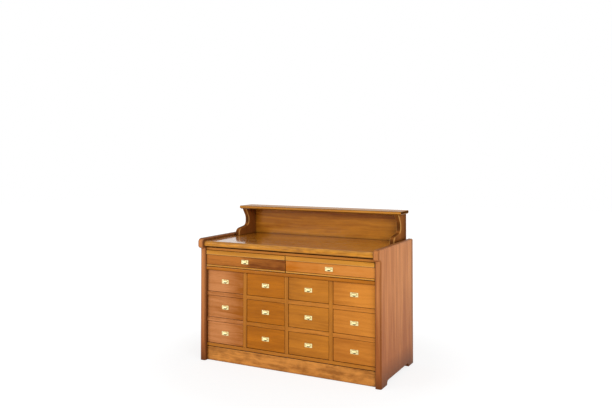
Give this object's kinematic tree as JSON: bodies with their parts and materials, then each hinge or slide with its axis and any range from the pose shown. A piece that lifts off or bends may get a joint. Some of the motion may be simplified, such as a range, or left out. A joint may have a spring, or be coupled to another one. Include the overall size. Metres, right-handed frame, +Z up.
{
  "type": "dry sink cabinet",
  "caption": "Low wooden kitchen chest: rimmed worktop with a raised rear gallery shelf on scroll brackets, wide drawers over rows of small drawers, cup pulls.",
  "frame": {"origin": "centre of the footprint's bounding box, on the floor under the soles", "axes": "+Z up, +X to the right seen from the front, drawers open towards -Y"},
  "size_m": [1.4, 0.684, 1.088],
  "materials": {
    "case_wood": "clear-lacquered honey-brown wood, satin",
    "worktop_wood": "clear-lacquered honey-brown wood, gloss",
    "drawer_front_wood": "clear-lacquered honey-brown wood, satin",
    "inner_wood": "plain sealed wood, matt",
    "brass": "polished pale brass"
  },
  "bodies": {
    "case": {"side_left": "case_wood", "side_right": "case_wood", "worktop": "worktop_wood", "plinth_board": "case_wood", "bottom_board": "inner_wood", "base_moulding": "case_wood", "waist_rail": "case_wood", "tier_board": "inner_wood", "top_rail": "case_wood", "back_boards": "inner_wood", "stiles": "case_wood", "partitions": "inner_wood", "row_rails": "case_wood", "drawer_runners": "inner_wood", "gallery_shelf": "worktop_wood", "gallery_bracket_left": "case_wood", "gallery_bracket_right": "case_wood", "gallery_back": "case_wood"},
    "drawer_bottom_1": {"drawer_bottom_1_front": "drawer_front_wood", "drawer_bottom_1_box": "inner_wood", "drawer_bottom_1_pull": "brass"},
    "drawer_bottom_2": {"drawer_bottom_2_front": "drawer_front_wood", "drawer_bottom_2_box": "inner_wood", "drawer_bottom_2_pull": "brass"},
    "drawer_bottom_3": {"drawer_bottom_3_front": "drawer_front_wood", "drawer_bottom_3_box": "inner_wood", "drawer_bottom_3_pull": "brass"},
    "drawer_bottom_4": {"drawer_bottom_4_front": "drawer_front_wood", "drawer_bottom_4_box": "inner_wood", "drawer_bottom_4_pull": "brass"},
    "drawer_middle_1": {"drawer_middle_1_front": "drawer_front_wood", "drawer_middle_1_box": "inner_wood", "drawer_middle_1_pull": "brass"},
    "drawer_middle_2": {"drawer_middle_2_front": "drawer_front_wood", "drawer_middle_2_box": "inner_wood", "drawer_middle_2_pull": "brass"},
    "drawer_middle_3": {"drawer_middle_3_front": "drawer_front_wood", "drawer_middle_3_box": "inner_wood", "drawer_middle_3_pull": "brass"},
    "drawer_middle_4": {"drawer_middle_4_front": "drawer_front_wood", "drawer_middle_4_box": "inner_wood", "drawer_middle_4_pull": "brass"},
    "drawer_top_1": {"drawer_top_1_front": "drawer_front_wood", "drawer_top_1_box": "inner_wood", "drawer_top_1_pull": "brass"},
    "drawer_top_2": {"drawer_top_2_front": "drawer_front_wood", "drawer_top_2_box": "inner_wood", "drawer_top_2_pull": "brass"},
    "drawer_top_3": {"drawer_top_3_front": "drawer_front_wood", "drawer_top_3_box": "inner_wood", "drawer_top_3_pull": "brass"},
    "drawer_top_4": {"drawer_top_4_front": "drawer_front_wood", "drawer_top_4_box": "inner_wood", "drawer_top_4_pull": "brass"},
    "drawer_wide_left": {"drawer_wide_left_front": "drawer_front_wood", "drawer_wide_left_box": "inner_wood", "drawer_wide_left_pull": "brass"},
    "drawer_wide_right": {"drawer_wide_right_front": "drawer_front_wood", "drawer_wide_right_box": "inner_wood", "drawer_wide_right_pull": "brass"}
  },
  "joints": [
    {"name": "drawer_bottom_1_slide", "type": "slide", "parent": "case", "child": "drawer_bottom_1", "axis": [0, -1, 0], "range_m": [0, 0.4]},
    {"name": "drawer_bottom_2_slide", "type": "slide", "parent": "case", "child": "drawer_bottom_2", "axis": [0, -1, 0], "range_m": [0, 0.4]},
    {"name": "drawer_bottom_3_slide", "type": "slide", "parent": "case", "child": "drawer_bottom_3", "axis": [0, -1, 0], "range_m": [0, 0.4]},
    {"name": "drawer_bottom_4_slide", "type": "slide", "parent": "case", "child": "drawer_bottom_4", "axis": [0, -1, 0], "range_m": [0, 0.4]},
    {"name": "drawer_middle_1_slide", "type": "slide", "parent": "case", "child": "drawer_middle_1", "axis": [0, -1, 0], "range_m": [0, 0.4]},
    {"name": "drawer_middle_2_slide", "type": "slide", "parent": "case", "child": "drawer_middle_2", "axis": [0, -1, 0], "range_m": [0, 0.4]},
    {"name": "drawer_middle_3_slide", "type": "slide", "parent": "case", "child": "drawer_middle_3", "axis": [0, -1, 0], "range_m": [0, 0.4]},
    {"name": "drawer_middle_4_slide", "type": "slide", "parent": "case", "child": "drawer_middle_4", "axis": [0, -1, 0], "range_m": [0, 0.4]},
    {"name": "drawer_top_1_slide", "type": "slide", "parent": "case", "child": "drawer_top_1", "axis": [0, -1, 0], "range_m": [0, 0.4]},
    {"name": "drawer_top_2_slide", "type": "slide", "parent": "case", "child": "drawer_top_2", "axis": [0, -1, 0], "range_m": [0, 0.4]},
    {"name": "drawer_top_3_slide", "type": "slide", "parent": "case", "child": "drawer_top_3", "axis": [0, -1, 0], "range_m": [0, 0.4]},
    {"name": "drawer_top_4_slide", "type": "slide", "parent": "case", "child": "drawer_top_4", "axis": [0, -1, 0], "range_m": [0, 0.4]},
    {"name": "drawer_wide_left_slide", "type": "slide", "parent": "case", "child": "drawer_wide_left", "axis": [0, -1, 0], "range_m": [0, 0.4]},
    {"name": "drawer_wide_right_slide", "type": "slide", "parent": "case", "child": "drawer_wide_right", "axis": [0, -1, 0], "range_m": [0, 0.4]}
  ]
}
